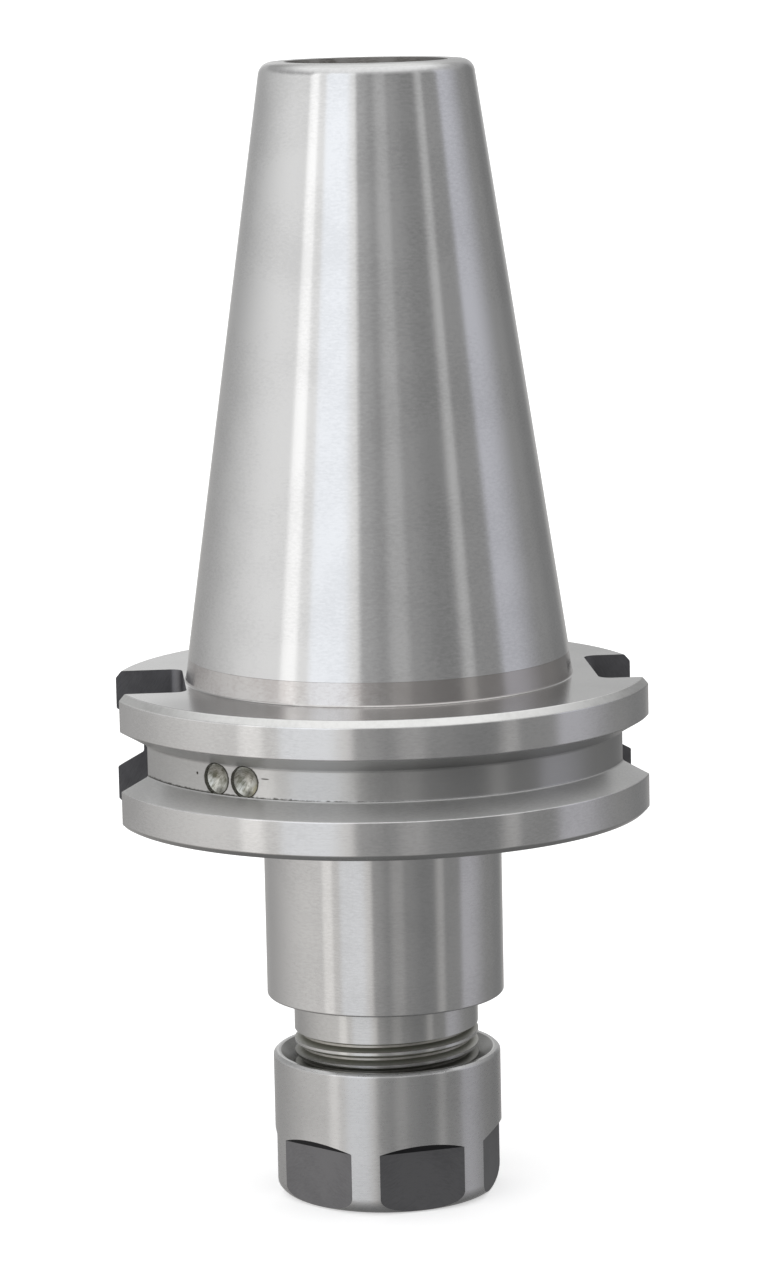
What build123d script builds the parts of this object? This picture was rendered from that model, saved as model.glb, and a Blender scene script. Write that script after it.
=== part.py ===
"""Collet chuck holder with a size 40 V-flange shank, a slit spring collet and its clamping nut.

Millimetres. The holder stands on the front face of its nut, +Z runs up the spindle axis
to the small end of the shank, and the two drive slots lie on -X (deep) and +X (shallow).
"""
import os
from math import cos, radians, sin, tan

from build123d import *

# Shank: a 7 in 24 taper, measured at its gauge line
GAUGE_DIA = 44.45
TAPER_RATIO = 7 / 24
TAPER_LENGTH = 68.25
GAUGE_HEIGHT = 65.0
SMALL_END_ROUND = 1.3

# Socket for the retention knob in the small end
KNOB_MOUTH_DIA = 18.8
KNOB_PILOT_DIA = 16.3
KNOB_PILOT_DEPTH = 5.0
KNOB_DRILL_DIA = 13.5
KNOB_DRILL_DEPTH = 38.0
THROUGH_BORE_DIA = 10.4
DRILL_POINT_ANGLE = 118.0

# Flange, its V-groove and its drive slots
FLANGE_DIA = 63.5
FACE_BELOW_GAUGE = 3.175
FLANGE_THICKNESS = 15.875
FACE_CHAMFER_WIDTH = 0.65
FACE_CHAMFER_HEIGHT = 0.8
BACK_CHAMFER = 0.6
GROOVE_BELOW_GAUGE = 11.11
GROOVE_ROOT_WIDTH = 3.55
GROOVE_DEPTH = 3.0
GROOVE_ANGLE = 60.0
SLOT_WIDTH = 16.36
DEEP_SLOT_FLOOR = 22.8
SHALLOW_SLOT_FLOOR = 25.0
SLOT_CORNER_ROUND = 1.5

# Two shallow drillings in the groove that balance the holder
BALANCE_DRILL_DIA = 3.5
BALANCE_DRILL_DEPTH = 0.5
BALANCE_ANGLES = (-134.6, -126.6)

# Nose and the turned end that carries the nut's thread
NOSE_DIA = 28.0
NECK_LENGTH = 6.9
NOSE_ROOT_CHAMFER = 0.8
SHOULDER_CHAMFER = 0.4
THREAD_DIA = 21.75
THREAD_END_CHAMFER = 0.9

# Spring collet: 8 degree body, extraction groove and 30 degree head
COLLET_LENGTH = 27.5
COLLET_HEAD_DIA = 17.0
COLLET_HEAD_LENGTH = 2.7
COLLET_LAND_LENGTH = 1.3
COLLET_GAUGE_DIA = 16.0
COLLET_GAUGE_DEPTH = 6.26
COLLET_GROOVE_DIA = 13.5
BODY_HALF_ANGLE = 8.0
HEAD_HALF_ANGLE = 30.0
COLLET_BORE_DIA = 8.0
COLLET_EDGE_BREAK = 0.3
SLIT_COUNT = 8
SLIT_WIDTH = 0.8
FRONT_SLIT_WEB = 4.0
REAR_SLIT_WEB = 6.8
COLLET_RECESS = 0.3

# Clamping nut: turned outside, six wrench flats at its front end
NUT_WALL = 2.525
NUT_LENGTH = 17.0
FLAT_COUNT = 6
FLAT_DEPTH = 1.05
FLAT_HEIGHT = 7.3
FLAT_RUNOUT = 0.95
FLAT_TURN = -16.2
NUT_FRONT_CHAMFER = 1.2
NUT_REAR_CHAMFER = 0.5
NUT_MOUTH_CHAMFER = 0.6
NUT_ENTRY_CHAMFER = 0.825
NUT_RELIEF_DEPTH = 0.325
NUT_RELIEF_LENGTH = 1.8
RING_OFFSET = 0.85

# Clearances between the pieces
SEAT_CLEARANCE = 0.05
THREAD_CLEARANCE = 0.05
HEAD_CLEARANCE = 0.15
RING_SIDE_CLEARANCE = 0.33
RING_ROOT_CLEARANCE = 0.35
CUT_MARGIN = 5.0

# Heights and radii that follow from the sizes above
taper_top = GAUGE_HEIGHT + TAPER_LENGTH
flange_face = GAUGE_HEIGHT - FACE_BELOW_GAUGE
flange_back = flange_face - FLANGE_THICKNESS
groove_middle = GAUGE_HEIGHT - GROOVE_BELOW_GAUGE
shoulder = NUT_LENGTH + NECK_LENGTH
groove_root_r = FLANGE_DIA / 2 - GROOVE_DEPTH
nut_r = THREAD_DIA / 2 + THREAD_CLEARANCE + NUT_WALL
collet_top = COLLET_RECESS + COLLET_LENGTH
head_plane = COLLET_RECESS + COLLET_HEAD_LENGTH
land_top = head_plane + COLLET_LAND_LENGTH
nose_end = COLLET_RECESS + COLLET_GAUGE_DEPTH


def turned(points, rounds=()):
    """Turns a closed outline of (radius, height) points about the spindle axis."""
    outline = make_face(Polyline(*points, close=True))
    for corner, radius in rounds:
        vertex = outline.vertices().sort_by_distance(Vector(*corner))[0]
        outline = fillet(vertex, radius)
    return revolve(Plane.XZ * outline, Axis.Z)


def cone_radius(height, plane_height, plane_dia, half_angle):
    """Radius at a height of a cone that narrows upwards from a known diameter."""
    return plane_dia / 2 - (height - plane_height) * tan(radians(half_angle))


def holder_blank():
    """Turned outside of the holder: thread end, nose, flange with its groove, and shank."""
    thread_r = THREAD_DIA / 2
    nose_r = NOSE_DIA / 2
    flange_r = FLANGE_DIA / 2
    root_half = GROOVE_ROOT_WIDTH / 2
    mouth_half = root_half + GROOVE_DEPTH * tan(radians(GROOVE_ANGLE / 2))
    foot_r = (GAUGE_DIA + FACE_BELOW_GAUGE * TAPER_RATIO) / 2
    small_r = (GAUGE_DIA - TAPER_LENGTH * TAPER_RATIO) / 2
    points = [
        (0, nose_end),
        (thread_r - THREAD_END_CHAMFER, nose_end),
        (thread_r, nose_end + THREAD_END_CHAMFER),
        (thread_r, shoulder),
        (nose_r - SHOULDER_CHAMFER, shoulder),
        (nose_r, shoulder + SHOULDER_CHAMFER),
        (nose_r, flange_back - NOSE_ROOT_CHAMFER),
        (nose_r + NOSE_ROOT_CHAMFER, flange_back),
        (flange_r - BACK_CHAMFER, flange_back),
        (flange_r, flange_back + BACK_CHAMFER),
        (flange_r, groove_middle - mouth_half),
        (groove_root_r, groove_middle - root_half),
        (groove_root_r, groove_middle + root_half),
        (flange_r, groove_middle + mouth_half),
        (flange_r, flange_face - FACE_CHAMFER_HEIGHT),
        (flange_r - FACE_CHAMFER_WIDTH, flange_face),
        (foot_r, flange_face),
        (small_r, taper_top),
        (0, taper_top),
    ]
    return turned(points, [((small_r, taper_top), SMALL_END_ROUND)])


def holder_bore():
    """Everything bored out along the axis: collet pocket, through bore and knob socket."""
    through_r = THROUGH_BORE_DIA / 2
    drill_r = KNOB_DRILL_DIA / 2
    pilot_r = KNOB_PILOT_DIA / 2
    mouth_r = KNOB_MOUTH_DIA / 2
    pocket_slope = tan(radians(BODY_HALF_ANGLE))
    pocket_end = nose_end + (COLLET_GAUGE_DIA / 2 - through_r) / pocket_slope
    outside_r = COLLET_GAUGE_DIA / 2 + CUT_MARGIN * pocket_slope
    drill_end = taper_top - KNOB_DRILL_DEPTH
    point_length = (drill_r - through_r) / tan(radians(DRILL_POINT_ANGLE / 2))
    return turned([
        (0, nose_end - CUT_MARGIN),
        (outside_r, nose_end - CUT_MARGIN),
        (through_r, pocket_end),
        (through_r, drill_end - point_length),
        (drill_r, drill_end),
        (drill_r, taper_top - KNOB_PILOT_DEPTH),
        (pilot_r, taper_top - KNOB_PILOT_DEPTH),
        (pilot_r, taper_top - (mouth_r - pilot_r)),
        (mouth_r, taper_top),
        (mouth_r, taper_top + CUT_MARGIN),
        (0, taper_top + CUT_MARGIN),
    ])


def drive_slot(floor, side):
    """Cutter for one drive slot, open outwards and through the whole flange."""
    depth = FLANGE_DIA / 2 - floor + CUT_MARGIN
    height = FLANGE_THICKNESS + 2 * CUT_MARGIN
    section = Pos(floor + depth / 2, 0) * Rectangle(depth, SLOT_WIDTH)
    floor_corners = section.vertices().sort_by(Axis.X)[:2]
    section = fillet(floor_corners, SLOT_CORNER_ROUND)
    cutter = Pos(0, 0, flange_back - CUT_MARGIN) * extrude(section, height)
    return Rot(0, 0, 0 if side > 0 else 180) * cutter


def balance_drilling(angle):
    """Cutter for a shallow radial drilling with a drill point, in the groove's floor."""
    drill_r = BALANCE_DRILL_DIA / 2
    point_length = drill_r / tan(radians(DRILL_POINT_ANGLE / 2))
    drill = turned([
        (0, CUT_MARGIN),
        (drill_r, CUT_MARGIN),
        (drill_r, -BALANCE_DRILL_DEPTH),
        (0, -BALANCE_DRILL_DEPTH - point_length),
    ])
    return Rot(0, 0, angle) * Pos(groove_root_r, 0, groove_middle) * Rot(0, 90, 0) * drill


def make_holder_body():
    holder = holder_blank() - holder_bore()
    holder -= drive_slot(SHALLOW_SLOT_FLOOR, 1)
    holder -= drive_slot(DEEP_SLOT_FLOOR, -1)
    for angle in BALANCE_ANGLES:
        holder -= balance_drilling(angle)
    return holder


def slit_fan(bottom, top, turn):
    """Flat cutters through the axis, two slits each, spread evenly round the collet."""
    slit = Box(
        COLLET_HEAD_DIA + CUT_MARGIN, SLIT_WIDTH, top - bottom,
        align=(Align.CENTER, Align.CENTER, Align.MIN))
    step = 360 / SLIT_COUNT
    return [Pos(0, 0, bottom) * Rot(0, 0, turn + index * step) * slit
            for index in range(SLIT_COUNT // 2)]


def make_collet():
    """Spring collet: long slits from both ends in turn let it close evenly on a tool."""
    clearance = SEAT_CLEARANCE / cos(radians(BODY_HALF_ANGLE))
    head_r = COLLET_HEAD_DIA / 2
    face_r = head_r - COLLET_HEAD_LENGTH * tan(radians(HEAD_HALF_ANGLE))
    bore_r = COLLET_BORE_DIA / 2
    groove_r = COLLET_GROOVE_DIA / 2
    land_r = cone_radius(land_top, head_plane, COLLET_HEAD_DIA, BODY_HALF_ANGLE)
    gauge_r = COLLET_GAUGE_DIA / 2 - clearance
    rear_r = cone_radius(collet_top, nose_end, COLLET_GAUGE_DIA, BODY_HALF_ANGLE) - clearance
    blank = turned([
        (bore_r + COLLET_EDGE_BREAK, COLLET_RECESS),
        (face_r, COLLET_RECESS),
        (head_r, head_plane),
        (land_r, land_top),
        (groove_r, land_top),
        (groove_r, nose_end),
        (gauge_r, nose_end),
        (rear_r, collet_top - COLLET_EDGE_BREAK),
        (rear_r - COLLET_EDGE_BREAK, collet_top),
        (bore_r, collet_top),
        (bore_r, COLLET_RECESS + COLLET_EDGE_BREAK),
    ])
    front = slit_fan(COLLET_RECESS - CUT_MARGIN, collet_top - FRONT_SLIT_WEB, 0)
    rear = slit_fan(COLLET_RECESS + REAR_SLIT_WEB, collet_top + CUT_MARGIN, 180 / SLIT_COUNT)
    return blank - (front + rear)


def wrench_flat(index):
    """Cutter for one wrench flat, whose upper end runs out on a short slope."""
    flat_r = nut_r - FLAT_DEPTH
    section = make_face(Polyline(
        (flat_r, -CUT_MARGIN),
        (nut_r + CUT_MARGIN, -CUT_MARGIN),
        (nut_r + CUT_MARGIN, FLAT_HEIGHT + FLAT_RUNOUT),
        (nut_r, FLAT_HEIGHT + FLAT_RUNOUT),
        (flat_r, FLAT_HEIGHT),
        close=True))
    cutter = extrude(Plane.XZ * section, nut_r, both=True)
    return Rot(0, 0, FLAT_TURN + index * 360 / FLAT_COUNT) * cutter


def make_clamping_nut():
    """Nut with a 30 degree seat for the collet's head and an off-centre extraction ring."""
    thread_r = THREAD_DIA / 2 + THREAD_CLEARANCE
    entry_r = thread_r + NUT_ENTRY_CHAMFER
    relief_r = thread_r + NUT_RELIEF_DEPTH
    head_slope = tan(radians(HEAD_HALF_ANGLE))
    chamber_r = COLLET_HEAD_DIA / 2 + HEAD_CLEARANCE
    seat_shift = SEAT_CLEARANCE / cos(radians(HEAD_HALF_ANGLE))
    seat_top = head_plane + (HEAD_CLEARANCE - seat_shift) / head_slope
    mouth_top = NUT_MOUTH_CHAMFER
    seat_low_r = COLLET_HEAD_DIA / 2 + seat_shift - (head_plane - mouth_top) * head_slope
    ring_bottom = land_top + RING_SIDE_CLEARANCE
    ring_top = nose_end - RING_SIDE_CLEARANCE
    ring_bore_r = COLLET_GROOVE_DIA / 2 + RING_ROOT_CLEARANCE + RING_OFFSET
    relief_top = ring_top + NUT_RELIEF_LENGTH
    shell = turned([
        (seat_low_r + NUT_MOUTH_CHAMFER, 0),
        (nut_r - NUT_FRONT_CHAMFER, 0),
        (nut_r, NUT_FRONT_CHAMFER),
        (nut_r, NUT_LENGTH - NUT_REAR_CHAMFER),
        (nut_r - NUT_REAR_CHAMFER, NUT_LENGTH),
        (entry_r, NUT_LENGTH),
        (thread_r, NUT_LENGTH - NUT_ENTRY_CHAMFER),
        (thread_r, relief_top),
        (relief_r, relief_top),
        (relief_r, ring_top),
        (chamber_r, ring_top),
        (chamber_r, seat_top),
        (seat_low_r, mouth_top),
    ])
    ring_blank = extrude(Circle(relief_r), ring_top - ring_bottom)
    ring_bore = Pos(RING_OFFSET, 0) * extrude(Circle(ring_bore_r), ring_top - ring_bottom)
    nut = shell + Pos(0, 0, ring_bottom) * (ring_blank - ring_bore)
    for index in range(FLAT_COUNT):
        nut -= wrench_flat(index)
    return nut


pieces = {
    "holder_body": make_holder_body(),
    "collet": make_collet(),
    "clamping_nut": make_clamping_nut(),
}

os.makedirs("parts", exist_ok=True)
for name, piece in pieces.items():
    export_step(piece, f"parts/{name}.step")
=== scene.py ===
"""Looks of a collet chuck holder: ground shank and flange, spring collet, clamping nut.

The holder stands on the front face of its nut, its axis along +Z. Sizes of the pieces are
in millimetres, as on a drawing, and every mesh is in metres, in the frame's own place.
"""
import math

import bmesh
import bpy
from mathutils import Matrix, Vector


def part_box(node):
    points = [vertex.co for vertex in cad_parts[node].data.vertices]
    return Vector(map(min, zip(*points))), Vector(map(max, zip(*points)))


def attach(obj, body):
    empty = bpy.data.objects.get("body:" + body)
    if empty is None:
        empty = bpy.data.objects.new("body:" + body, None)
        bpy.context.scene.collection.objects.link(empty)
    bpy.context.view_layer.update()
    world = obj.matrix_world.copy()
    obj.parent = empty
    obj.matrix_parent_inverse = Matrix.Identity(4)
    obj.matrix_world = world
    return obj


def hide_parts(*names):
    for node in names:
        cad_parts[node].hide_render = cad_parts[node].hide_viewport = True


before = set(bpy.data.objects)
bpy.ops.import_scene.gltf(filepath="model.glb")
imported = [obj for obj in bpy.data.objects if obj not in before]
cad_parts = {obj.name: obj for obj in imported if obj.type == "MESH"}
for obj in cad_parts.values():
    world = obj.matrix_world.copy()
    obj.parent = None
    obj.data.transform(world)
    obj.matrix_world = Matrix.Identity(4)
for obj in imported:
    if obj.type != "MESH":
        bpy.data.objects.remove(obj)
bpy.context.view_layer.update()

# Holder body: one piece of case-hardened steel, turned all over, then ground on the taper,
# the rims and the nose. The drive slots are milled right through the flange before the
# hardening, so their walls stay dark, and two balance drillings sit in the groove.
MM = 0.001
TURN_STEPS = 288
GAUGE_R = 22.225
TAPER_RATIO = 7 / 24
TAPER_LENGTH = 68.25
SMALL_END_ROUND = 1.3
RELIEF_BELOW_GAUGE = 0.45
RELIEF_DEPTH = 0.04
KNOB_MOUTH_R = 9.4
KNOB_PILOT_R = 8.15
KNOB_PILOT_DEPTH = 5.0
KNOB_DRILL_R = 6.75
KNOB_DRILL_DEPTH = 38.0
THROUGH_BORE_R = 5.2
DRILL_POINT_SLOPE = math.tan(math.radians(31))
FACE_BELOW_GAUGE = 3.175
FLANGE_THICKNESS = 15.875
FACE_CHAMFER_WIDTH = 0.65
FACE_CHAMFER_HEIGHT = 0.8
BACK_CHAMFER = 0.6
GROOVE_BELOW_GAUGE = 11.11
GROOVE_ROOT_R = 28.75
GROOVE_ROOT_HALF = 1.775
FLANK_SLOPE = math.tan(math.radians(30))
NOSE_R = 14.0
NOSE_ROOT_CHAMFER = 0.8
NECK_LENGTH = 6.9
SHOULDER_BREAK = 0.25
THREAD_R = 10.875
THREAD_END_CHAMFER = 0.9
POCKET_GAUGE_R = 8.0
POCKET_SLOPE = math.tan(math.radians(8))
FINE_BREAK = 0.12
ROOT_BREAK = 0.25
SLOT_WIDTH = 16.36
DEEP_SLOT_FLOOR = 22.8
SHALLOW_SLOT_FLOOR = 25.0
SLOT_CORNER = 1.5
BALANCE_DRILL_R = 1.75
BALANCE_DRILL_DEPTH = 0.5
BALANCE_ANGLES = (-134.6, -126.6)
NOSE_PITCH = 1.5
NOSE_THREAD_TURNS = 11
NOSE_THREAD_TOP = 20.75
NOSE_THREAD_TOP_ANGLE = math.radians(205.7)
NOSE_THREAD_ROOT_R = 10.08
NOSE_PITCH_R = 10.513
KNOB_PITCH = 2.309
KNOB_THREAD_TURNS = 13
KNOB_THREAD_ROOT_R = 7.94
KNOB_PITCH_R = 7.188
THREAD_STEPS = 96
NOSE_THREAD_RUNOUT = 0.64
NO_RUNOUT = 0.0001
RUNOUT_RISE = 1.0
THREAD_OVERCUT = 0.2
# height up to which the nose's thread is painted dark, as shade from the gap at the nut's mouth
THREAD_SHADE_TOP = 17.05
DRILL_STEPS = 64
CORNER_SEGMENTS = 8
CUT_MARGIN = 5.0
MERGE_DISTANCE = 1e-7
LEAST_BREAK_SEGMENTS = 4
BREAK_SEGMENTS_PER_MM = 6
SHARP_ANGLE = math.radians(28)

holder_low, holder_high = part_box("holder_body")
NOSE_END = holder_low.z / MM
TAPER_TOP = holder_high.z / MM
FLANGE_R = holder_high.y / MM
GAUGE_HEIGHT = TAPER_TOP - TAPER_LENGTH
RELIEF_TOP = GAUGE_HEIGHT - RELIEF_BELOW_GAUGE
FLANGE_FACE = GAUGE_HEIGHT - FACE_BELOW_GAUGE
FLANGE_BACK = FLANGE_FACE - FLANGE_THICKNESS
GROOVE_MIDDLE = GAUGE_HEIGHT - GROOVE_BELOW_GAUGE
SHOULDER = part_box("clamping_nut")[1].z / MM + NECK_LENGTH


def new_piece(name, bm, materials):
    """A finished mesh object at the origin from a bmesh whose place is in its points."""
    bmesh.ops.recalc_face_normals(bm, faces=bm.faces)
    mesh = bpy.data.meshes.new(name)
    bm.to_mesh(mesh)
    bm.free()
    for material in materials:
        mesh.materials.append(material)
    piece = bpy.data.objects.new(name, mesh)
    bpy.context.scene.collection.objects.link(piece)
    return piece


def turn_round_axis(bm, angle):
    bmesh.ops.rotate(bm, verts=bm.verts, cent=(0, 0, 0), matrix=Matrix.Rotation(angle, 3, "Z"))


def pull_solid(bm, way):
    """Pulls a bmesh of one face out into a solid, along a vector in metres."""
    pulled = bmesh.ops.extrude_face_region(bm, geom=bm.faces[:])["geom"]
    bmesh.ops.translate(
        bm, verts=[v for v in pulled if isinstance(v, bmesh.types.BMVert)], vec=way)


def nearest_row(outline, radius, height):
    """Which row's surface, from its corner to the next, a point of the profile lies on."""
    point = Vector((radius, height))

    def gap(index):
        start = Vector(outline[index][:2])
        along = Vector(outline[(index + 1) % len(outline)][:2]) - start
        share = (point - start).dot(along) / along.length_squared
        return (point - start - along * max(0.0, min(1.0, share))).length

    return min(range(len(outline)), key=gap)


def turned(name, outline, steps=TURN_STEPS):
    """Turns a closed outline about the spindle axis. A row of the outline is a corner's
    radius and height, its edge break, and the finish of the surface from it to the next."""
    bm = bmesh.new()
    verts = [bm.verts.new((row[0] * MM, 0, row[1] * MM)) for row in outline]
    for start, end in zip(verts, verts[1:] + verts[:1]):
        bm.edges.new((start, end))
    for vert, row in zip(verts, outline):
        if row[2]:
            bmesh.ops.bevel(
                bm, geom=[vert], offset=row[2] * MM, offset_type="OFFSET",
                profile=0.5, affect="VERTICES", material=-1,
                segments=max(LEAST_BREAK_SEGMENTS, round(row[2] * BREAK_SEGMENTS_PER_MM)))
    bmesh.ops.spin(
        bm, geom=bm.verts[:] + bm.edges[:], cent=(0, 0, 0), axis=(0, 0, 1), dvec=(0, 0, 0),
        angle=math.tau, steps=steps, use_merge=True, use_duplicate=False)
    bmesh.ops.remove_doubles(bm, verts=bm.verts, dist=MERGE_DISTANCE)
    finishes = list(dict.fromkeys(row[3] for row in outline))
    known = {}
    for face in bm.faces:
        middle = face.calc_center_median()
        place = (round(math.hypot(middle.x, middle.y) / MM, 3), round(middle.z / MM, 3))
        if place not in known:
            known[place] = finishes.index(outline[nearest_row(outline, *place)][3])
        face.material_index = known[place]
    return new_piece(name, bm, finishes)


def thread_cutter(name, root_r, open_r, pitch_r, pitch, top, turns, runout, top_angle, play,
                  materials):
    """The helical space of a right-hand 60 degree thread, between its root and its open side.
    It runs out of the metal over its last turns, and play widens it. The first finish is the
    flanks', the second the root's."""
    side = 1 if open_r > root_r else -1

    def half_width(r):
        return (pitch / 2 + play + side * (r - pitch_r) * 2 * FLANK_SLOPE) / 2

    bm = bmesh.new()
    start = top - turns * pitch
    corners = [
        (root_r, -half_width(root_r)), (open_r, -half_width(open_r)),
        (open_r, half_width(open_r)), (root_r, half_width(root_r))]
    ring = [bm.verts.new((r * MM, 0, (start + z) * MM)) for r, z in corners]
    bm.faces.new(ring)
    bmesh.ops.spin(
        bm, geom=bm.faces[:] + bm.edges[:] + bm.verts[:], cent=(0, 0, 0), axis=(0, 0, 1),
        dvec=(0, 0, pitch * MM / THREAD_STEPS), angle=math.tau * turns,
        steps=round(THREAD_STEPS * turns), use_merge=False, use_duplicate=False)
    bmesh.ops.holes_fill(bm, edges=[e for e in bm.edges if e.is_boundary], sides=8)
    for face in bm.faces:
        far = [abs(math.hypot(v.co.x, v.co.y) / MM - root_r) for v in face.verts]
        face.material_index = 1 if max(far) < 0.001 else 0
    turn_round_axis(bm, top_angle)
    fade_start = (top - pitch * runout) * MM
    for vert in bm.verts:
        fade = (vert.co.z - fade_start) / (runout * pitch * MM)
        if fade > 0:
            flat = Vector((vert.co.x, vert.co.y, 0))
            vert.co += flat.normalized() * side * fade * RUNOUT_RISE * MM
    return new_piece(name, bm, materials)


def machine(piece, cutters):
    """Cuts the cutters out of a piece, each cut surface keeping its cutter's finish, then
    shades it smooth up to its real edges and to the edges of the cuts."""
    own = len(piece.data.materials)
    for cutter in cutters:
        change = piece.modifiers.new(cutter.name, "BOOLEAN")
        change.operation = "DIFFERENCE"
        change.solver = "EXACT"
        change.material_mode = "TRANSFER"
        change.object = cutter
    bake_modifiers(piece)
    for cutter in cutters:
        bpy.data.objects.remove(cutter)
    bm = bmesh.new()
    bm.from_mesh(piece.data)
    bmesh.ops.remove_doubles(bm, verts=bm.verts, dist=MERGE_DISTANCE)
    bmesh.ops.delete(bm, geom=[v for v in bm.verts if not v.link_faces], context="VERTS")
    for face in bm.faces:
        face.smooth = True
    for edge in bm.edges:
        kinds = {max(own - 1, face.material_index) for face in edge.link_faces}
        if len(kinds) > 1 or edge.calc_face_angle(0) > SHARP_ANGLE:
            edge.smooth = False
    bm.to_mesh(piece.data)
    bm.free()
    weigh = piece.modifiers.new("even_normals", "WEIGHTED_NORMAL")
    weigh.keep_sharp = True
    weigh.weight = 100
    bake_modifiers(piece)


def bake_modifiers(piece):
    """Puts what the modifiers make of a piece into its own mesh."""
    bpy.context.view_layer.update()
    whole = bpy.data.meshes.new_from_object(
        piece.evaluated_get(bpy.context.evaluated_depsgraph_get()))
    piece.modifiers.clear()
    piece.data = whole


def node(tree, kind, operation=None, **inputs):
    """A node with its sockets set by name or number: a link for a socket, else a value."""
    made = tree.nodes.new(kind)
    if operation:
        made.operation = operation
    for key, value in inputs.items():
        socket = made.inputs[int(key[1:]) if key[0] == "i" and key[1:].isdigit() else key]
        if isinstance(value, bpy.types.NodeSocket):
            tree.links.new(value, socket)
        else:
            socket.default_value = value
    return made


def maths(tree, operation, first, second=0.0, third=0.0):
    """The outcome of one Math node on up to three sockets or numbers."""
    return node(tree, "ShaderNodeMath", operation, i0=first, i1=second, i2=third).outputs[0]


def new_group(name, given, shown):
    """An empty shader group with its sockets, and its inside ends of both."""
    group = bpy.data.node_groups.new(name, "ShaderNodeTree")
    for label, kind, value in given:
        socket = group.interface.new_socket(label, in_out="INPUT", socket_type=kind)
        socket.default_value = value
    for label in shown:
        group.interface.new_socket(label, in_out="OUTPUT", socket_type="NodeSocketFloat")
    return (group, group.nodes.new("NodeGroupInput").outputs,
            group.nodes.new("NodeGroupOutput").inputs)


def radius_from_axis(tree, x_part, y_part):
    return maths(tree, "SQRT", maths(
        tree, "ADD", maths(tree, "MULTIPLY", x_part, x_part),
        maths(tree, "MULTIPLY", y_part, y_part)))


def place_in_mm(tree):
    """The place on the piece, in millimetres from the frame's origin."""
    place = tree.nodes.new("ShaderNodeTexCoord").outputs["Object"]
    scaled = node(tree, "ShaderNodeVectorMath", "SCALE", i0=place)
    scaled.inputs["Scale"].default_value = 1 / MM
    return scaled.outputs[0]


RINGS_BY_RADIUS = 1.7
GRAIN_ROUND = 1.6
GRAIN_ALONG = 5.0
DARK_TONE_AT = 0.38
LIGHT_TONE_AT = 0.56
MARK_DEPTH = 0.00002


def tool_marks_group():
    """Marks that a turning tool or a grinding wheel leaves round the axis: fine rings whose
    strength wanders along the ring, with a grain and a cloud of slower tone changes."""
    group, given, shown = new_group("tool_marks", [
        ("Ring Width mm", "NodeSocketFloat", 0.1),
        ("Streak Length mm", "NodeSocketFloat", 12.0),
        ("Cloud Size mm", "NodeSocketFloat", 9.0)], ["Rings", "Grain", "Cloud"])
    place = place_in_mm(group)
    x_part, y_part, z_part = node(group, "ShaderNodeSeparateXYZ", i0=place).outputs
    radius = radius_from_axis(group, x_part, y_part)
    along = maths(group, "MULTIPLY_ADD", radius, RINGS_BY_RADIUS, z_part)
    where = node(
        group, "ShaderNodeCombineXYZ",
        i0=maths(group, "DIVIDE", x_part, given["Streak Length mm"]),
        i1=maths(group, "DIVIDE", y_part, given["Streak Length mm"]),
        i2=maths(group, "DIVIDE", along, given["Ring Width mm"])).outputs[0]
    rings = node(group, "ShaderNodeTexNoise", Vector=where, Scale=1.0, Detail=2.0, Roughness=0.6)
    group.links.new(rings.outputs[0], shown["Rings"])
    fine = node(
        group, "ShaderNodeCombineXYZ", i0=maths(group, "MULTIPLY", x_part, GRAIN_ROUND),
        i1=maths(group, "MULTIPLY", y_part, GRAIN_ROUND),
        i2=maths(group, "MULTIPLY", along, GRAIN_ALONG))
    grain = node(
        group, "ShaderNodeTexNoise", Vector=fine.outputs[0], Scale=1.0, Detail=3.0, Roughness=0.7)
    group.links.new(grain.outputs[0], shown["Grain"])
    cloud = node(
        group, "ShaderNodeTexNoise", Vector=place, Detail=2.0, Roughness=0.5,
        Scale=maths(group, "DIVIDE", 1.0, given["Cloud Size mm"]))
    group.links.new(cloud.outputs[0], shown["Cloud"])
    return group


def spot_group():
    """Mask of a ragged mark about a point, stretched along any of the three axes."""
    group, given, shown = new_group("spot", [
        ("Centre mm", "NodeSocketVector", (0, 0, 0)), ("Stretch", "NodeSocketVector", (1, 1, 1)),
        ("Radius mm", "NodeSocketFloat", 1.0), ("Edge mm", "NodeSocketFloat", 0.1),
        ("Ragged mm", "NodeSocketFloat", 0.1)], ["Mask"])
    place = place_in_mm(group)
    apart = node(group, "ShaderNodeVectorMath", "SUBTRACT", i0=place, i1=given["Centre mm"])
    shaped = node(
        group, "ShaderNodeVectorMath", "MULTIPLY", i0=apart.outputs[0], i1=given["Stretch"])
    far = node(group, "ShaderNodeVectorMath", "LENGTH", i0=shaped.outputs[0]).outputs["Value"]
    wander = node(group, "ShaderNodeTexNoise", Vector=place, Scale=2.2, Detail=3.0, Roughness=0.65)
    shift = maths(group, "MULTIPLY", maths(group, "SUBTRACT", wander.outputs[0], 0.5),
                  maths(group, "MULTIPLY", given["Ragged mm"], 4.0))
    edge = node(
        group, "ShaderNodeMapRange", i0=maths(group, "ADD", far, shift), i1=given["Radius mm"],
        i2=maths(group, "ADD", given["Radius mm"], given["Edge mm"]), i3=1.0, i4=0.0)
    edge.interpolation_type = "SMOOTHSTEP"
    group.links.new(edge.outputs[0], shown["Mask"])
    return group


tool_marks = tool_marks_group()
spot = spot_group()


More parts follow.
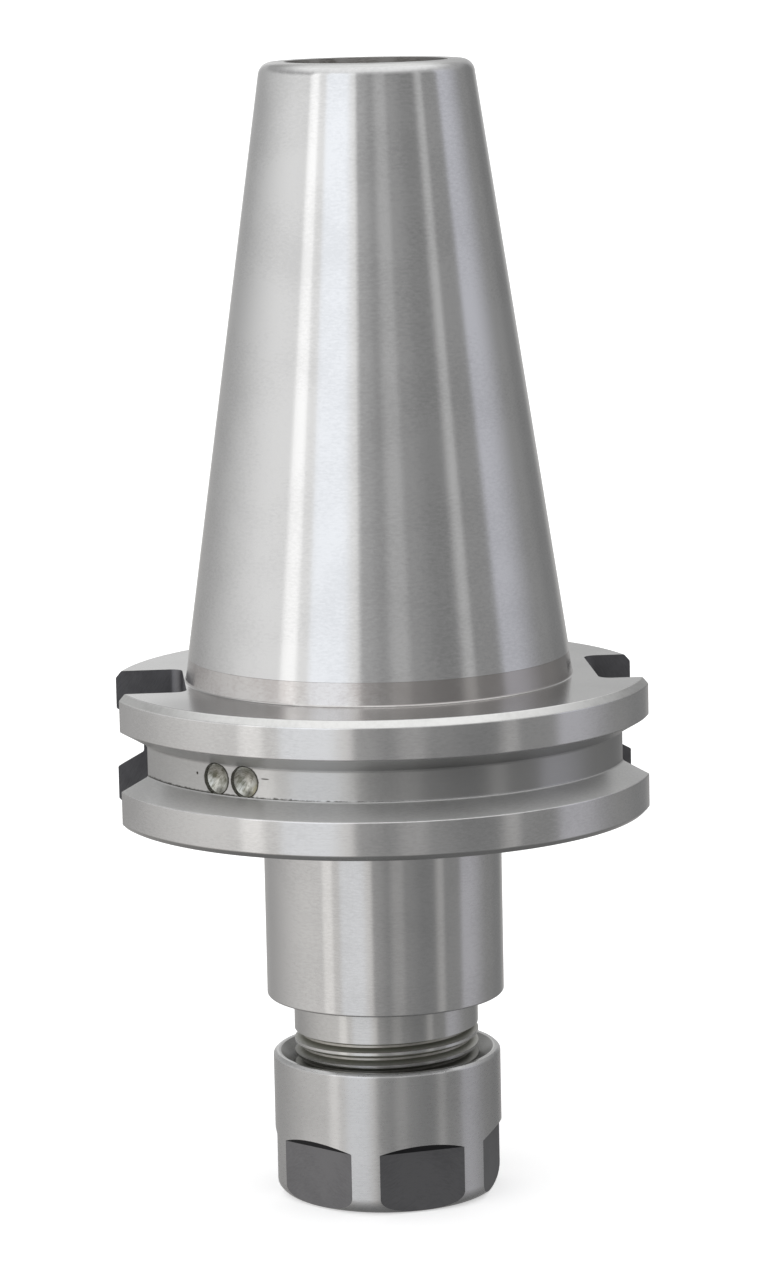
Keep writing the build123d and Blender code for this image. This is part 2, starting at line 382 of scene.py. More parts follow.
def steel(name, tone, dark_tone, roughness, spread=0.06, aniso=0.0, ring_width=0.14, streak=12.0,
          bump=0.2, cloud_size=9.0):
    """A cut or ground steel surface with its tool marks in tone, roughness and relief. The
    marks run round the axis, so a reflection is drawn out across them."""
    material = bpy.data.materials.new(name)
    material.use_nodes = True
    tree = material.node_tree
    shader = tree.nodes["Principled BSDF"]
    marks = tree.nodes.new("ShaderNodeGroup")
    marks.node_tree = tool_marks
    marks.inputs["Ring Width mm"].default_value = ring_width
    marks.inputs["Streak Length mm"].default_value = streak
    marks.inputs["Cloud Size mm"].default_value = cloud_size
    blend = maths(tree, "MULTIPLY_ADD", marks.outputs["Grain"], 0.5,
                  maths(tree, "MULTIPLY", marks.outputs["Cloud"], 0.5))
    colour = tree.nodes.new("ShaderNodeValToRGB")
    colour.color_ramp.elements[0].position = DARK_TONE_AT
    colour.color_ramp.elements[0].color = (*dark_tone, 1)
    colour.color_ramp.elements[1].position = LIGHT_TONE_AT
    colour.color_ramp.elements[1].color = (*tone, 1)
    tree.links.new(blend, colour.inputs[0])
    tree.links.new(colour.outputs[0], shader.inputs["Base Color"])
    rough = maths(tree, "MULTIPLY_ADD", maths(tree, "SUBTRACT", marks.outputs["Grain"], 0.5),
                  spread, roughness)
    tree.links.new(rough, shader.inputs["Roughness"])
    shader.inputs["Metallic"].default_value = 1.0
    relief = node(
        tree, "ShaderNodeBump", Strength=bump, Distance=MARK_DEPTH,
        Height=marks.outputs["Rings"])
    tree.links.new(relief.outputs[0], shader.inputs["Normal"])
    if aniso:
        shader.inputs["Anisotropic"].default_value = aniso
        shader.inputs["Anisotropic Rotation"].default_value = 0.25
        lay = tree.nodes.new("ShaderNodeTangent")
        lay.direction_type = "RADIAL"
        lay.axis = "Z"
        tree.links.new(lay.outputs[0], shader.inputs["Tangent"])
    return material


def lay_over(material, colour, cover):
    """Mixes another colour over what the material shows so far, as much as a mask says."""
    tree = material.node_tree
    base = tree.nodes["Principled BSDF"].inputs["Base Color"]
    over = tree.nodes.new("ShaderNodeMix")
    over.data_type = "RGBA"
    tree.links.new(cover, over.inputs[0])
    tree.links.new(base.links[0].from_socket, over.inputs[6])
    over.inputs[7].default_value = (*colour, 1)
    tree.links.new(over.outputs[2], base)


def stain(material, colour, centre, radius, edge=0.1, ragged=0.1, stretch=(1, 1, 1), amount=1.0):
    """Lays a ragged mark about a point in millimetres over the material."""
    tree = material.node_tree
    mark = tree.nodes.new("ShaderNodeGroup")
    mark.node_tree = spot
    mark.inputs["Centre mm"].default_value = centre
    mark.inputs["Stretch"].default_value = stretch
    mark.inputs["Radius mm"].default_value = radius
    mark.inputs["Edge mm"].default_value = edge
    mark.inputs["Ragged mm"].default_value = ragged
    lay_over(material, colour, maths(tree, "MULTIPLY", mark.outputs["Mask"], amount))


def shade_deep_inside(material, colour, full, none):
    """Paints shade in another colour over what lies deep, by its radius in millimetres."""
    tree = material.node_tree
    x_part, y_part, z_part = node(
        tree, "ShaderNodeSeparateXYZ", i0=place_in_mm(tree)).outputs
    cover = node(
        tree, "ShaderNodeMapRange", i0=radius_from_axis(tree, x_part, y_part), i1=full, i2=none,
        i3=1.0, i4=0.0)
    lay_over(material, colour, cover.outputs[0])


def groove_point(angle, rise=0.0):
    """A point on the groove's floor, in millimetres, by its angle round the axis."""
    turn = math.radians(angle)
    return (GROOVE_ROOT_R * math.cos(turn), GROOVE_ROOT_R * math.sin(turn), GROOVE_MIDDLE + rise)


ground_steel = steel("ground_steel", (0.65, 0.65, 0.65), (0.58, 0.58, 0.58), 0.19, aniso=1.0)
turned_steel = steel(
    "turned_steel", (0.6, 0.6, 0.595), (0.54, 0.54, 0.535), 0.22, aniso=0.95, ring_width=0.22,
    bump=0.3)
chamfer_steel = steel(
    "chamfer_steel", (0.7, 0.7, 0.69), (0.62, 0.62, 0.61), 0.36, ring_width=0.2, bump=0.2)
face_steel = steel(
    "face_steel", (0.6, 0.6, 0.595), (0.52, 0.52, 0.515), 0.17, ring_width=0.22, bump=0.3)
relief_steel = steel(
    "relief_steel", (0.59, 0.575, 0.565), (0.5, 0.475, 0.465), 0.22, aniso=0.95, ring_width=0.3,
    cloud_size=5.0, bump=0.3)
# painted shade: the bores and the nut's inside get a very dark steel for the shade deep inside
# them
bore_shade_steel = steel(
    "bore_shade_steel", (0.15, 0.145, 0.14), (0.06, 0.055, 0.05), 0.42, spread=0.2, ring_width=0.3,
    cloud_size=3.0, bump=0.5)
slot_steel = steel(
    "slot_steel", (0.19, 0.19, 0.2), (0.14, 0.14, 0.148), 0.5, spread=0.15, ring_width=0.3,
    streak=3.0, cloud_size=4.0)
flank_steel = steel("flank_steel", (0.6, 0.6, 0.57), (0.48, 0.48, 0.45), 0.45, ring_width=0.2)
# painted shade: the thread's flanks darken towards their roots
shade_deep_inside(flank_steel, (0.33, 0.33, 0.29), THREAD_R - 0.5, THREAD_R - 0.15)
# painted shade: the thread's end and its crests low down, in the gap at the nut's mouth, get this
# dark steel
thread_shade_steel = steel("thread_shade_steel", (0.2, 0.2, 0.18), (0.1, 0.1, 0.085), 0.35)
root_steel = steel("root_steel", (0.5, 0.49, 0.46), (0.36, 0.35, 0.32), 0.35, aniso=0.8)
# painted shade: the drillings' bottoms get a darker, mottled steel for the shade inside them
drilled_shade_steel = steel(
    "drilled_shade_steel", (0.42, 0.42, 0.39), (0.13, 0.13, 0.1), 0.22, ring_width=0.25, cloud_size=0.9)
groove_steel = steel(
    "groove_steel", (0.57, 0.57, 0.565), (0.5, 0.5, 0.495), 0.3, aniso=0.95, ring_width=0.2,
    bump=0.35)
groove_flank_steel = steel(
    "groove_flank_steel", (0.68, 0.68, 0.675), (0.6, 0.6, 0.595), 0.38, aniso=0.6, ring_width=0.2)

# Marks from use, and painted shade: a dark ring painted round each drilling as its rim's shadow,
# old oil in one drilling, a pit and a scratch beside them, a ragged dark line along the groove's
# lower corner, painted shade low on the thread, and painted dark reflections and shade on the
# face, the relief band and the groove's floor.
# dark of the pit and the scratch, and of the painted shadow and shade
DARK_MARK_AND_SHADE = (0.03, 0.028, 0.022)
OLD_OIL = (0.3, 0.27, 0.16)
PIT_ANGLE = -140.6
SCRATCH_ANGLE = -121.2
# places of the painted dark reflections on the face and the relief band, and of the painted shade
# on the groove's floor
FACE_REFLECTION_PLACE = (-19, -19)
BAND_REFLECTION_ANGLE = math.radians(-48)
FLOOR_SHADE_ANGLE = math.radians(-50)
# painted shadow: a dark ring round each drilling's rim
for drill_angle in BALANCE_ANGLES:
    stain(groove_steel, DARK_MARK_AND_SHADE, groove_point(drill_angle), BALANCE_DRILL_R + 0.06, 0.14, 0.05)
stain(drilled_shade_steel, OLD_OIL, groove_point(BALANCE_ANGLES[1] + 2, -0.9), 0.5, 0.9, 0.25,
      amount=0.75)
stain(groove_steel, DARK_MARK_AND_SHADE, groove_point(PIT_ANGLE, 0.35), 0.1, 0.12, 0.03)
stain(groove_steel, DARK_MARK_AND_SHADE, groove_point(SCRATCH_ANGLE, 0.55), 0.4, 0.2, 0.05, (1, 1, 6), 0.8)
# a ragged dark line along the groove's lower corner, strongest at the left, fainter in front
stain(groove_steel, DARK_MARK_AND_SHADE, groove_point(-150, -GROOVE_ROOT_HALF), 0.12, 0.2, 0.1,
      (0.01, 0.01, 1), 0.85)
stain(groove_steel, DARK_MARK_AND_SHADE, groove_point(-90, -GROOVE_ROOT_HALF), 0.04, 0.16, 0.08,
      (0.001, 0.001, 1), 0.6)
# painted shade low on the thread's flanks and roots, and on the nut's inner thread
for thread_finish in (flank_steel, root_steel):
    stain(thread_finish, DARK_MARK_AND_SHADE, (0, 0, NOSE_END), THREAD_SHADE_TOP - NOSE_END, 0.7, 0.1, (0.05, 0.05, 1), 0.5)
# painted dark reflection on the face's front left
stain(face_steel, (0.3, 0.3, 0.3), (*FACE_REFLECTION_PLACE, FLANGE_FACE), 3, 9, 0.5, amount=0.8)
# painted dark reflection on the relief band's right foot
right_foot = Matrix.Rotation(BAND_REFLECTION_ANGLE, 3, "Z") @ Vector((GAUGE_R, 0, 0))
stain(relief_steel, (0.42, 0.4, 0.39), (*right_foot.xy, RELIEF_TOP), 14, 6, 0.5, amount=0.8)
# painted shade on the right side of the groove's floor
right_floor = Matrix.Rotation(FLOOR_SHADE_ANGLE, 3, "Z") @ Vector((GROOVE_ROOT_R, 0, 0))
stain(groove_steel, (0.38, 0.38, 0.38), (*right_floor.xy, GROOVE_MIDDLE), 16, 9, 0.8, amount=0.8)

flange_foot_r = GAUGE_R + (GAUGE_HEIGHT - FLANGE_FACE) * TAPER_RATIO / 2
relief_top_r = GAUGE_R + (GAUGE_HEIGHT - RELIEF_TOP) * TAPER_RATIO / 2
small_r = GAUGE_R - TAPER_LENGTH * TAPER_RATIO / 2
groove_mouth_half = GROOVE_ROOT_HALF + (FLANGE_R - GROOVE_ROOT_R) * FLANK_SLOPE
pocket_end = NOSE_END + (POCKET_GAUGE_R - THROUGH_BORE_R) / POCKET_SLOPE
drill_end = TAPER_TOP - KNOB_DRILL_DEPTH
point_length = (KNOB_DRILL_R - THROUGH_BORE_R) * DRILL_POINT_SLOPE
holder_outline = [
    (THREAD_R - THREAD_END_CHAMFER, NOSE_END, 0, thread_shade_steel),
    (THREAD_R, NOSE_END + THREAD_END_CHAMFER, FINE_BREAK, thread_shade_steel),
    (THREAD_R, THREAD_SHADE_TOP, 0, turned_steel),
    (THREAD_R, SHOULDER, ROOT_BREAK, turned_steel),
    (NOSE_R, SHOULDER, SHOULDER_BREAK, ground_steel),
    (NOSE_R, FLANGE_BACK - NOSE_ROOT_CHAMFER, FINE_BREAK, turned_steel),
    (NOSE_R + NOSE_ROOT_CHAMFER, FLANGE_BACK, FINE_BREAK, turned_steel),
    (FLANGE_R - BACK_CHAMFER, FLANGE_BACK, FINE_BREAK, turned_steel),
    (FLANGE_R, FLANGE_BACK + BACK_CHAMFER, FINE_BREAK, ground_steel),
    (FLANGE_R, GROOVE_MIDDLE - groove_mouth_half, FINE_BREAK, groove_flank_steel),
    (GROOVE_ROOT_R, GROOVE_MIDDLE - GROOVE_ROOT_HALF, ROOT_BREAK, groove_steel),
    (GROOVE_ROOT_R, GROOVE_MIDDLE + GROOVE_ROOT_HALF, ROOT_BREAK, groove_steel),
    (FLANGE_R, GROOVE_MIDDLE + groove_mouth_half, FINE_BREAK, ground_steel),
    (FLANGE_R, FLANGE_FACE - FACE_CHAMFER_HEIGHT, FINE_BREAK, chamfer_steel),
    (FLANGE_R - FACE_CHAMFER_WIDTH, FLANGE_FACE, FINE_BREAK, face_steel),
    (flange_foot_r - RELIEF_DEPTH, FLANGE_FACE, ROOT_BREAK, relief_steel),
    (relief_top_r - RELIEF_DEPTH, RELIEF_TOP - RELIEF_DEPTH, 0, relief_steel),
    (relief_top_r, RELIEF_TOP, 0, ground_steel),
    (small_r, TAPER_TOP, SMALL_END_ROUND, turned_steel),
    (KNOB_MOUTH_R, TAPER_TOP, FINE_BREAK, bore_shade_steel),
    (KNOB_PILOT_R, TAPER_TOP - (KNOB_MOUTH_R - KNOB_PILOT_R), FINE_BREAK, bore_shade_steel),
    (KNOB_PILOT_R, TAPER_TOP - KNOB_PILOT_DEPTH, 0, bore_shade_steel),
    (KNOB_DRILL_R, TAPER_TOP - KNOB_PILOT_DEPTH, 0, bore_shade_steel),
    (KNOB_DRILL_R, drill_end, 0, bore_shade_steel),
    (THROUGH_BORE_R, drill_end - point_length, 0, bore_shade_steel),
    (THROUGH_BORE_R, pocket_end, 0, turned_steel),
    (POCKET_GAUGE_R, NOSE_END, 0, turned_steel),
]


def slot_cutter(floor, side):
    """Square-mouthed cutter for one drive slot, with round corners along its floor."""
    bm = bmesh.new()
    half = SLOT_WIDTH / 2
    outer = FLANGE_R + CUT_MARGIN
    low = FLANGE_BACK - CUT_MARGIN
    plan = [(floor, -half), (outer, -half), (outer, half), (floor, half)]
    verts = [bm.verts.new((x * side * MM, y * MM, low * MM)) for x, y in plan]
    bm.faces.new(verts)
    for corner in (verts[0], verts[3]):
        bmesh.ops.bevel(
            bm, geom=[corner], offset=SLOT_CORNER * MM, offset_type="OFFSET",
            segments=CORNER_SEGMENTS, profile=0.5, affect="VERTICES", material=-1)
    pull_solid(bm, (0, 0, (FLANGE_THICKNESS + 2 * CUT_MARGIN) * MM))
    return new_piece(f"slot_cutter_{side}", bm, [slot_steel])


def balance_cutter(angle):
    """Drill with its 118 degree point, coming straight in at the groove's floor."""
    bm = bmesh.new()
    point = BALANCE_DRILL_R * DRILL_POINT_SLOPE
    profile = [
        (0, GROOVE_ROOT_R - BALANCE_DRILL_DEPTH - point),
        (BALANCE_DRILL_R, GROOVE_ROOT_R - BALANCE_DRILL_DEPTH),
        (BALANCE_DRILL_R, GROOVE_ROOT_R + CUT_MARGIN), (0, GROOVE_ROOT_R + CUT_MARGIN)]
    verts = [bm.verts.new((x * MM, r * MM, 0)) for r, x in profile]
    for start, end in zip(verts, verts[1:]):
        bm.edges.new((start, end))
    bmesh.ops.spin(
        bm, geom=bm.verts[:] + bm.edges[:], cent=(0, 0, 0), axis=(1, 0, 0), dvec=(0, 0, 0),
        angle=math.tau, steps=DRILL_STEPS, use_merge=True, use_duplicate=False)
    bmesh.ops.remove_doubles(bm, verts=bm.verts, dist=MERGE_DISTANCE)
    for face in bm.faces:
        bottom = face.calc_center_median().x < (GROOVE_ROOT_R - BALANCE_DRILL_DEPTH) * MM
        face.material_index = 0 if bottom else 1
    turn_round_axis(bm, math.radians(angle))
    bmesh.ops.translate(bm, verts=bm.verts, vec=(0, 0, GROOVE_MIDDLE * MM))
    return new_piece(f"balance_cutter_{abs(angle):.0f}", bm, [drilled_shade_steel, flank_steel])


holder = turned("holder_ground_body", holder_outline)
nose_thread_cutter = thread_cutter(
    "nose_thread_cutter", NOSE_THREAD_ROOT_R, THREAD_R + THREAD_OVERCUT, NOSE_PITCH_R,
    NOSE_PITCH, NOSE_THREAD_TOP, NOSE_THREAD_TURNS, NOSE_THREAD_RUNOUT, NOSE_THREAD_TOP_ANGLE,
    0.0, [flank_steel, root_steel])
knob_thread_cutter = thread_cutter(
    "knob_thread_cutter", KNOB_THREAD_ROOT_R, KNOB_DRILL_R - THREAD_OVERCUT, KNOB_PITCH_R,
    KNOB_PITCH, TAPER_TOP - KNOB_PILOT_DEPTH + KNOB_PITCH, KNOB_THREAD_TURNS, NO_RUNOUT, 0.0,
    0.0, [bore_shade_steel, bore_shade_steel])
machine(holder, [
    slot_cutter(DEEP_SLOT_FLOOR, -1), slot_cutter(SHALLOW_SLOT_FLOOR, 1),
    *[balance_cutter(angle) for angle in BALANCE_ANGLES],
    nose_thread_cutter, knob_thread_cutter])
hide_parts("holder_body")
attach(holder, "holder")

# Spring collet: hardened spring steel, ground on its cone, head and bore. Eight long slits,
# four planes from each end in turn, let it close evenly on the tool as the nut drives it in.
COLLET_LENGTH = 27.5
COLLET_HEAD_R = 8.5
COLLET_HEAD_LENGTH = 2.7
COLLET_LAND_LENGTH = 1.3
COLLET_GROOVE_R = 6.75
COLLET_BORE_R = 4.0
COLLET_SEAT_CLEARANCE = 0.0505
COLLET_EDGE_BREAK = 0.3
COLLET_STEPS = 192
SLIT_COUNT = 8
SLIT_WIDTH = 0.8
FRONT_SLIT_WEB = 4.0
REAR_SLIT_WEB = 6.8

collet_steel = steel(
    "collet_steel", (0.58, 0.585, 0.6), (0.5, 0.505, 0.52), 0.24, aniso=0.9, ring_width=0.12)
slit_steel = steel("slit_steel", (0.34, 0.34, 0.35), (0.22, 0.22, 0.23), 0.35, ring_width=0.4)

collet_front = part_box("collet")[0].z / MM
collet_rear = collet_front + COLLET_LENGTH
head_plane = collet_front + COLLET_HEAD_LENGTH
land_top = head_plane + COLLET_LAND_LENGTH
collet_outline = [
    (COLLET_BORE_R + COLLET_EDGE_BREAK, collet_front, 0, collet_steel),
    (COLLET_HEAD_R - COLLET_HEAD_LENGTH * FLANK_SLOPE, collet_front, FINE_BREAK, collet_steel),
    (COLLET_HEAD_R, head_plane, FINE_BREAK, collet_steel),
    (COLLET_HEAD_R - COLLET_LAND_LENGTH * POCKET_SLOPE, land_top, FINE_BREAK, collet_steel),
    (COLLET_GROOVE_R, land_top, ROOT_BREAK, collet_steel),
    (COLLET_GROOVE_R, NOSE_END, ROOT_BREAK, collet_steel),
    (POCKET_GAUGE_R - COLLET_SEAT_CLEARANCE, NOSE_END, FINE_BREAK, collet_steel),
    (POCKET_GAUGE_R - COLLET_SEAT_CLEARANCE - (collet_rear - NOSE_END) * POCKET_SLOPE,
     collet_rear - COLLET_EDGE_BREAK, FINE_BREAK, collet_steel),
    (POCKET_GAUGE_R - COLLET_SEAT_CLEARANCE - COLLET_EDGE_BREAK
     - (collet_rear - NOSE_END) * POCKET_SLOPE, collet_rear, 0, collet_steel),
    (COLLET_BORE_R, collet_rear, 0, collet_steel),
    (COLLET_BORE_R, collet_front + COLLET_EDGE_BREAK, 0, collet_steel),
]


def slit_cutter(index, bottom, top, turn):
    """Thin saw through the axis, which cuts two slits at once."""
    bm = bmesh.new()
    bmesh.ops.create_cube(bm, size=1.0)
    length = 2 * (COLLET_HEAD_R + CUT_MARGIN)
    bmesh.ops.scale(bm, verts=bm.verts, vec=(length * MM, SLIT_WIDTH * MM, (top - bottom) * MM))
    bmesh.ops.translate(bm, verts=bm.verts, vec=(0, 0, (top + bottom) / 2 * MM))
    turn_round_axis(bm, math.radians(turn))
    return new_piece(f"slit_cutter_{index}", bm, [slit_steel])


collet = turned("spring_collet_ground", collet_outline, steps=COLLET_STEPS)
slit_step = 360 / SLIT_COUNT
front_slits = [
    slit_cutter(index, collet_front - CUT_MARGIN, collet_rear - FRONT_SLIT_WEB, index * slit_step)
    for index in range(SLIT_COUNT // 2)]
rear_slits = [
    slit_cutter(
        SLIT_COUNT + index, collet_front + REAR_SLIT_WEB, collet_rear + CUT_MARGIN,
        (index + 0.5) * slit_step)
    for index in range(SLIT_COUNT // 2)]
machine(collet, front_slits + rear_slits)
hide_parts("collet")
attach(collet, "collet")

# Clamping nut: turned and ground outside, its six wrench flats left dark from the hardening.
# Inside are the thread, the off-centre ring that pulls the collet out, and its 30 degree seat.
NUT_LENGTH = 17.0
NUT_R = 13.45
FLAT_DEPTH = 1.05
FLAT_HEIGHT = 7.3
FLAT_RUNOUT = 0.95
FLAT_TURN = -16.2
FLAT_COUNT = 6
NUT_FRONT_ROUND = 2.0
NUT_REAR_BREAK = 0.35
NUT_ENTRY_R = 12.6
NUT_MINOR_R = 10.2
NUT_MAJOR_R = 11.05
NUT_RELIEF_R = 11.25
RING_BOTTOM = 4.63
RING_TOP = 6.23
RING_BLANK_R = 6.9
RING_BORE_R = 7.95
RING_OFFSET = 0.85
RELIEF_HEIGHT = 8.03
CHAMBER_R = 8.65
SEAT_TOP = 3.16
SEAT_LOW_R = 7.27
RING_STEPS = 128
MOUTH_CHAMFER = 0.6
NUT_THREAD_TURNS = 9
NUT_THREAD_PLAY = 0.12
# loops above the flats, which keep their cuts from showing in the shading higher up
SHADE_LOOPS = (0.3, 0.6)

entry_steel = steel(
    "entry_steel", (0.45, 0.45, 0.44), (0.34, 0.34, 0.33), 0.3, ring_width=0.25, bump=0.4)
nut_steel = steel(
    "nut_steel", (0.6, 0.6, 0.6), (0.53, 0.53, 0.53), 0.28, aniso=0.95, ring_width=0.2,
    bump=0.25)
flat_steel = steel(
    "flat_steel", (0.22, 0.22, 0.228), (0.18, 0.18, 0.188), 0.5, spread=0.1, ring_width=0.3,
    streak=3.0, cloud_size=5.0)
# painted shade: the slope above each flat gets a near-black steel
runout_shade_steel = steel("runout_shade_steel", (0.09, 0.09, 0.095), (0.06, 0.06, 0.064), 0.5)

flat_top = FLAT_HEIGHT + FLAT_RUNOUT
nut_outline = [
    (SEAT_LOW_R + MOUTH_CHAMFER, 0, FINE_BREAK, nut_steel),
    (NUT_R, 0, NUT_FRONT_ROUND, nut_steel),
    *[(NUT_R, flat_top + above, 0, nut_steel) for above in SHADE_LOOPS],
    (NUT_R, NUT_LENGTH - NUT_REAR_BREAK, FINE_BREAK, nut_steel),
    (NUT_R - NUT_REAR_BREAK, NUT_LENGTH, FINE_BREAK, face_steel),
    (NUT_ENTRY_R, NUT_LENGTH, FINE_BREAK, entry_steel),
    (NUT_MINOR_R, NUT_LENGTH - (NUT_ENTRY_R - NUT_MINOR_R), 0, bore_shade_steel),
    (NUT_MINOR_R, RELIEF_HEIGHT, 0, bore_shade_steel),
    (NUT_RELIEF_R, RELIEF_HEIGHT, 0, bore_shade_steel),
    (NUT_RELIEF_R, RING_TOP, 0, bore_shade_steel),
    (RING_BLANK_R, RING_TOP, 0, bore_shade_steel),
    (RING_BLANK_R, RING_BOTTOM, 0, bore_shade_steel),
    (CHAMBER_R, RING_BOTTOM, 0, bore_shade_steel),
    (CHAMBER_R, SEAT_TOP, 0, nut_steel),
    (SEAT_LOW_R, MOUTH_CHAMFER, 0, nut_steel),
]


def flat_cutter(index):
    """Cutter for one wrench flat, with the slope on which the milling cutter runs out."""
    bm = bmesh.new()
    flat_r = NUT_R - FLAT_DEPTH
    outer = NUT_R + CUT_MARGIN
    section = [
        (flat_r, -CUT_MARGIN), (outer, -CUT_MARGIN), (outer, flat_top), (NUT_R, flat_top),
        (flat_r, FLAT_HEIGHT)]
    verts = [bm.verts.new((x * MM, -NUT_R * MM, z * MM)) for x, z in section]
    bm.faces.new(verts)
    pull_solid(bm, (0, 2 * NUT_R * MM, 0))
    bm.normal_update()
    for face in bm.faces:
        on_slope = face.calc_center_median().z > FLAT_HEIGHT * MM
        # the slope above the flat takes the near-black steel of painted shade
        face.material_index = 1 if on_slope and abs(face.normal.y) < 0.5 else 0
    turn_round_axis(bm, math.radians(FLAT_TURN + index * 360 / FLAT_COUNT))
    return new_piece(f"flat_cutter_{index}", bm, [flat_steel, runout_shade_steel])


def ring_cutter():
    """Boring bar set off centre, which leaves the ring deepest on one side."""
    bm = bmesh.new()
    bmesh.ops.create_cone(
        bm, cap_ends=True, segments=RING_STEPS, radius1=RING_BORE_R * MM,
        radius2=RING_BORE_R * MM,
        depth=(RING_TOP - RING_BOTTOM + 2 * FINE_BREAK) * MM)
    bmesh.ops.translate(
        bm, verts=bm.verts, vec=(RING_OFFSET * MM, 0, (RING_TOP + RING_BOTTOM) / 2 * MM))
    return new_piece("ring_cutter", bm, [bore_shade_steel])


nut = turned("clamping_nut_turned", nut_outline)
thread_rise = NOSE_PITCH * NOSE_THREAD_TOP_ANGLE / math.tau
nut_thread_cutter = thread_cutter(
    "nut_thread_cutter", NUT_MAJOR_R, NUT_MINOR_R - THREAD_OVERCUT / 2, NOSE_PITCH_R,
    NOSE_PITCH, NOSE_THREAD_TOP - thread_rise + NOSE_PITCH / 2, NUT_THREAD_TURNS, NO_RUNOUT,
    0.0, NUT_THREAD_PLAY, [flank_steel, bore_shade_steel])
machine(nut, [
    *[flat_cutter(index) for index in range(FLAT_COUNT)], ring_cutter(), nut_thread_cutter])
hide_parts("clamping_nut")
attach(nut, "nut")

# Floor: a plain pale sheet that the holder stands on, wide enough to fill the view. It goes
# down with the nut, and the steel doesn't mirror it, because the studio's light stands for it.
FLOOR_R = 12.0
FLOOR_STEPS = 96
bm = bmesh.new()
bmesh.ops.create_circle(bm, cap_ends=True, segments=FLOOR_STEPS, radius=FLOOR_R)
floor_material = bpy.data.materials.new("pale_floor")
floor_material.use_nodes = True
floor_shader = floor_material.node_tree.nodes["Principled BSDF"]
floor_shader.inputs["Base Color"].default_value = (0.88, 0.88, 0.88, 1)
floor_shader.inputs["Roughness"].default_value = 0.9
floor_shader.inputs["Specular IOR Level"].default_value = 0.0
floor_shader.inputs["Emission Color"].default_value = (1, 1, 1, 1)
floor_shader.inputs["Emission Strength"].default_value = 0.45
floor = new_piece("floor", bm, [floor_material])
floor.visible_glossy = False
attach(floor, "collet")

# Studio: tall soft boxes with dark gaps between them, all round the holder, under a pale
# ceiling. What the camera sees past the floor's edge is the same pale tone all over.
TURN_TO_CAMERA = 0.075
SOFT_BOXES = [
    # from and to in degrees from the camera's side, softness of each edge, sine of the
    # elevation of its top, brightness, tint
    (-180, -62, 8, 4, 0.35, 0.22, (1.0, 1.0, 1.0)),
    (-110, -62, 80, 4, 0.35, 0.53, (1.0, 1.0, 1.0)),
    (-180, -168, 2, 12, 1.2, 0.22, (1.0, 1.0, 1.0)),
    (-62, -12, 4, 5, 0.6, 0.72, (1.0, 1.0, 1.0)),
    (-61.5, -51, 3, 3, 0.5, 0.38, (1.0, 1.0, 1.0)),
    (-43, -18.5, 4, 9, 0.6, 0.23, (0.84, 1.0, 1.25)),
    (-13, -3, 3, 14, 0.5, 0.2, (1.0, 1.0, 1.0)),
    (7, 19, 8, 6, 0.5, 0.145, (1.0, 1.0, 1.0)),
    (-5, 31, 12, 18, 0.5, 0.08, (1.0, 1.0, 1.0)),
    (52.5, 60, 7, 3.5, 0.5, 0.22, (1.0, 1.0, 1.0)),
    (50, 130, 6, 20, 0.5, 0.07, (1.0, 1.0, 1.0)),
    (80, 105, 7, 32, 0.5, 0.28, (0.98, 1.0, 1.17)),
    (158, 180, 18, 2, 1.2, 0.24, (1.0, 1.0, 1.0)),
]
BOX_TOP_SOFTNESS = 0.14
LOW_ROOM_LIGHT = 0.17
ROOM_LIGHT_STEPS = [
    # from and to as the sine of the elevation, light that comes on between them
    (-0.85, -0.3, 0.095), (0.25, 0.5, 0.22), (0.5, 0.85, 0.8)]
BOX_FADE = [
    # sine of the elevation, share of the boxes' brightness there in red, green and blue
    (-0.95, (0.08, 0.08, 0.08)), (-0.5, (0.42, 0.39, 0.36)), (-0.3, (0.7, 0.67, 0.64)),
    (-0.15, (0.82, 0.79, 0.76)), (0.06, (1.2, 1.2, 1.2)), (0.28, (1.27, 1.27, 1.27)),
    (0.5, (1.25, 1.25, 1.25)), (0.8, (0.4, 0.4, 0.4))]
PALE_BACKDROP = 1.0

world = bpy.data.worlds.new("studio")
bpy.context.scene.world = world
world.use_nodes = True
tree = world.node_tree
background = tree.nodes["Background"]
direction = tree.nodes.new("ShaderNodeTexCoord").outputs["Generated"]
turned_way = node(tree, "ShaderNodeVectorRotate", Vector=direction, Angle=TURN_TO_CAMERA)
turned_way.rotation_type = "Z_AXIS"
x_way, y_way, z_way = node(tree, "ShaderNodeSeparateXYZ", i0=turned_way.outputs[0]).outputs
azimuth = maths(
    tree, "MULTIPLY",
    maths(tree, "ARCTAN2", x_way, maths(tree, "MULTIPLY", y_way, -1.0)), 180 / math.pi)
boxes = node(tree, "ShaderNodeCombineXYZ").outputs[0]
for first, last, soft_first, soft_last, top, brightness, tint in SOFT_BOXES:
    cover = brightness
    for place, centre, width, ends in (
            (azimuth, first, soft_first, (0.0, 1.0)), (azimuth, last, soft_last, (1.0, 0.0)),
            (z_way, top, BOX_TOP_SOFTNESS, (1.0, 0.0))):
        edge = node(tree, "ShaderNodeMapRange", i0=place, i1=centre - width / 2,
                    i2=centre + width / 2, i3=ends[0], i4=ends[1])
        edge.interpolation_type = "SMOOTHSTEP"
        cover = maths(tree, "MULTIPLY", edge.outputs[0], cover)
    boxes = node(
        tree, "ShaderNodeVectorMath", "MULTIPLY_ADD", i0=cover, i1=tint, i2=boxes).outputs[0]
fade = tree.nodes.new("ShaderNodeValToRGB")
fade.color_ramp.interpolation = "EASE"
stops = fade.color_ramp.elements
stops.remove(stops[1])
for height, share in BOX_FADE:
    stop = stops.new((height + 1) / 2)
    stop.color = (*share, 1)
stops.remove(stops[0])
tree.links.new(maths(tree, "MULTIPLY_ADD", z_way, 0.5, 0.5), fade.inputs[0])
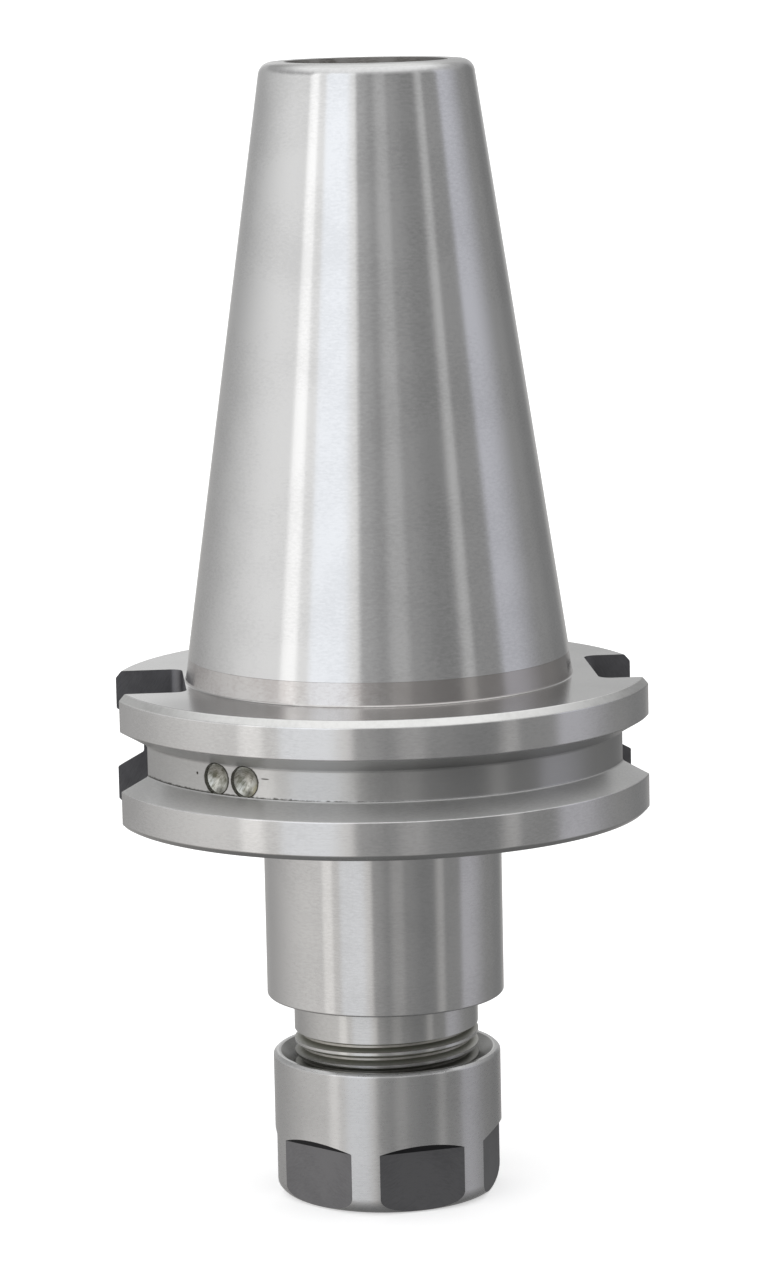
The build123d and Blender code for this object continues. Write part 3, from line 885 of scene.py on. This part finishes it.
open_light = LOW_ROOM_LIGHT
for low, high, brightness in ROOM_LIGHT_STEPS:
    step = node(tree, "ShaderNodeMapRange", i0=z_way, i1=low, i2=high, i3=0.0, i4=brightness)
    step.interpolation_type = "SMOOTHSTEP"
    open_light = maths(tree, "ADD", step.outputs[0], open_light)
studio_light = node(
    tree, "ShaderNodeVectorMath", "MULTIPLY_ADD", i0=boxes, i1=fade.outputs[0], i2=open_light)
seen = node(tree, "ShaderNodeMix")
seen.data_type = "RGBA"
tree.links.new(tree.nodes.new("ShaderNodeLightPath").outputs["Is Camera Ray"], seen.inputs[0])
tree.links.new(studio_light.outputs[0], seen.inputs[6])
seen.inputs[7].default_value = (PALE_BACKDROP, PALE_BACKDROP, PALE_BACKDROP, 1)
tree.links.new(seen.outputs[2], background.inputs["Color"])

# Camera: a long lens above the gauge line, half a metre off, which looks down by nine degrees.
# It stands in front, a few degrees round the axis from the -Y side, the deep slot on its left.
PHOTO_HEIGHT = 1280
FOCAL_PIXELS = 4670
CAMERA_DISTANCE = 539.5
CAMERA_ABOVE_GAUGE = 87.34
CAMERA_ASIDE = 0.37
LOOK_DOWN = 0.159
CAMERA_ROLL = -0.0211

camera_data = bpy.data.cameras.new("camera")
camera_data.sensor_width = 36.0
camera_data.lens = camera_data.sensor_width * FOCAL_PIXELS / PHOTO_HEIGHT
camera_data.clip_start = 0.01
camera_data.clip_end = 100.0
camera = bpy.data.objects.new("camera", camera_data)
level = Matrix.Rotation(-TURN_TO_CAMERA, 3, "Z")
stand = level @ Vector((CAMERA_ASIDE, -CAMERA_DISTANCE, CAMERA_ABOVE_GAUGE + GAUGE_HEIGHT)) * MM
tilt = Matrix.Rotation(math.pi / 2 - LOOK_DOWN, 3, "X")
aim = level @ tilt @ Matrix.Rotation(CAMERA_ROLL, 3, "Z")
camera.matrix_world = Matrix.Translation(stand) @ aim.to_4x4()
bpy.context.scene.collection.objects.link(camera)
bpy.context.scene.camera = camera
bpy.context.scene.view_settings.view_transform = "Standard"
